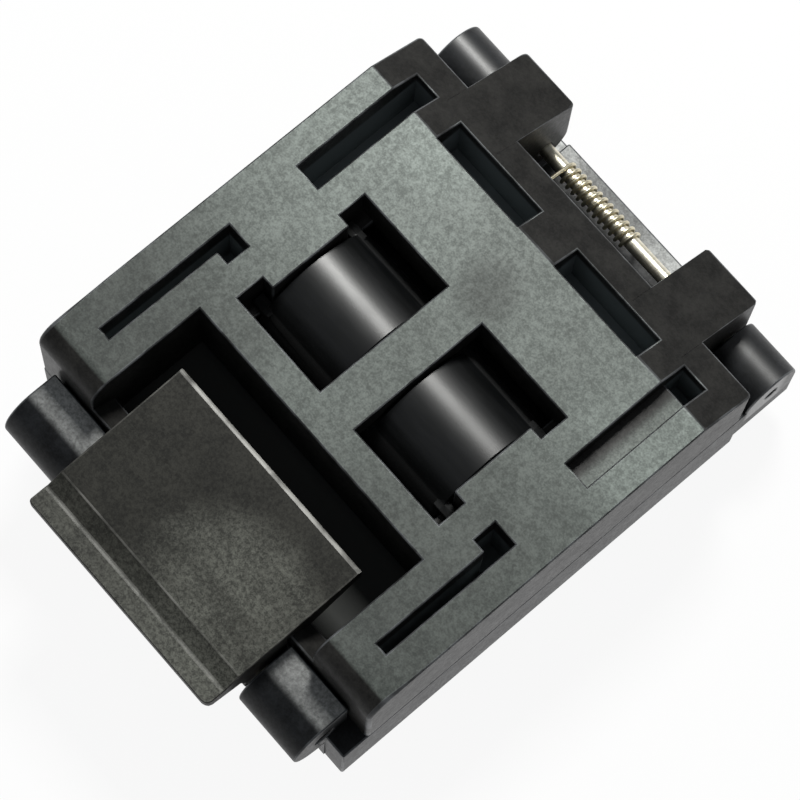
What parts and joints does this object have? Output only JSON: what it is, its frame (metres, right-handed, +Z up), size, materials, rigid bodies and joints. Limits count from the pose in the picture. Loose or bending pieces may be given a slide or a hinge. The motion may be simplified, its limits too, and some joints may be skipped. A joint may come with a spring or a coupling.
{
  "type": "ic programming adapter",
  "caption": "Clamshell socket with a hinged windowed lid, a floating pressure pad and a spring latch, for holding a small-outline chip while it is programmed.",
  "frame": {"origin": "on the seating plane of the base, under the centre of the package seat", "axes": "+X along the hinge pin, +Y from the latch to the hinge, +Z up through the lid"},
  "size_m": [0.033, 0.0458, 0.0165],
  "materials": {
    "base_plastic": "moulded, satin black-grey",
    "nest_plastic": "moulded, satin",
    "lid_plastic": "moulded grey with a fine light speckle",
    "latch_plastic": "moulded brown-grey with a fine speckle",
    "pad_plastic": "satin black",
    "pin_steel": "ground steel",
    "spring_wire": "drawn spring wire",
    "contact_alloy": "gold-flashed spring alloy"
  },
  "bodies": {
    "base": {"base_housing": "base_plastic", "contact_retainer": "base_plastic", "package_nest": "nest_plastic", "hinge_pin": "pin_steel", "hinge_spring": "spring_wire", "latch_pin": "pin_steel", "latch_spring": "spring_wire", "contact_front_1": "contact_alloy", "contact_front_2": "contact_alloy", "contact_front_3": "contact_alloy", "contact_front_4": "contact_alloy", "contact_front_5": "contact_alloy", "contact_front_6": "contact_alloy", "contact_front_7": "contact_alloy", "contact_front_8": "contact_alloy", "contact_front_9": "contact_alloy", "contact_front_10": "contact_alloy", "contact_front_11": "contact_alloy", "contact_front_12": "contact_alloy", "contact_front_13": "contact_alloy", "contact_front_14": "contact_alloy", "contact_rear_1": "contact_alloy", "contact_rear_2": "contact_alloy", "contact_rear_3": "contact_alloy", "contact_rear_4": "contact_alloy", "contact_rear_5": "contact_alloy", "contact_rear_6": "contact_alloy", "contact_rear_7": "contact_alloy", "contact_rear_8": "contact_alloy", "contact_rear_9": "contact_alloy", "contact_rear_10": "contact_alloy", "contact_rear_11": "contact_alloy", "contact_rear_12": "contact_alloy", "contact_rear_13": "contact_alloy", "contact_rear_14": "contact_alloy"},
    "lid": {"lid_cover": "lid_plastic", "pad_spring_front": "spring_wire", "pad_spring_rear": "spring_wire"},
    "pad": {"pressure_pad": "pad_plastic"},
    "latch": {"latch_lever": "latch_plastic"}
  },
  "joints": [
    {"name": "lid_hinge", "type": "hinge", "parent": "base", "child": "lid", "pos_m": [0, 0.0194, 0.004], "axis": [-1, 0, 0], "range_deg": [0, 105], "deforming": ["hinge_spring"]},
    {"name": "latch_pivot", "type": "hinge", "parent": "base", "child": "latch", "pos_m": [0, -0.0191, 0.0068], "axis": [1, 0, 0], "range_deg": [0, 50], "stiffness_Nm_per_rad": 0.0066, "deforming": ["latch_spring"]},
    {"name": "pad_float", "type": "slide", "parent": "lid", "child": "pad", "axis": [0, 0, 1], "range_m": [0, 0.0005], "stiffness_N_per_m": 6000, "deforming": ["pad_spring_front", "pad_spring_rear"]}
  ]
}
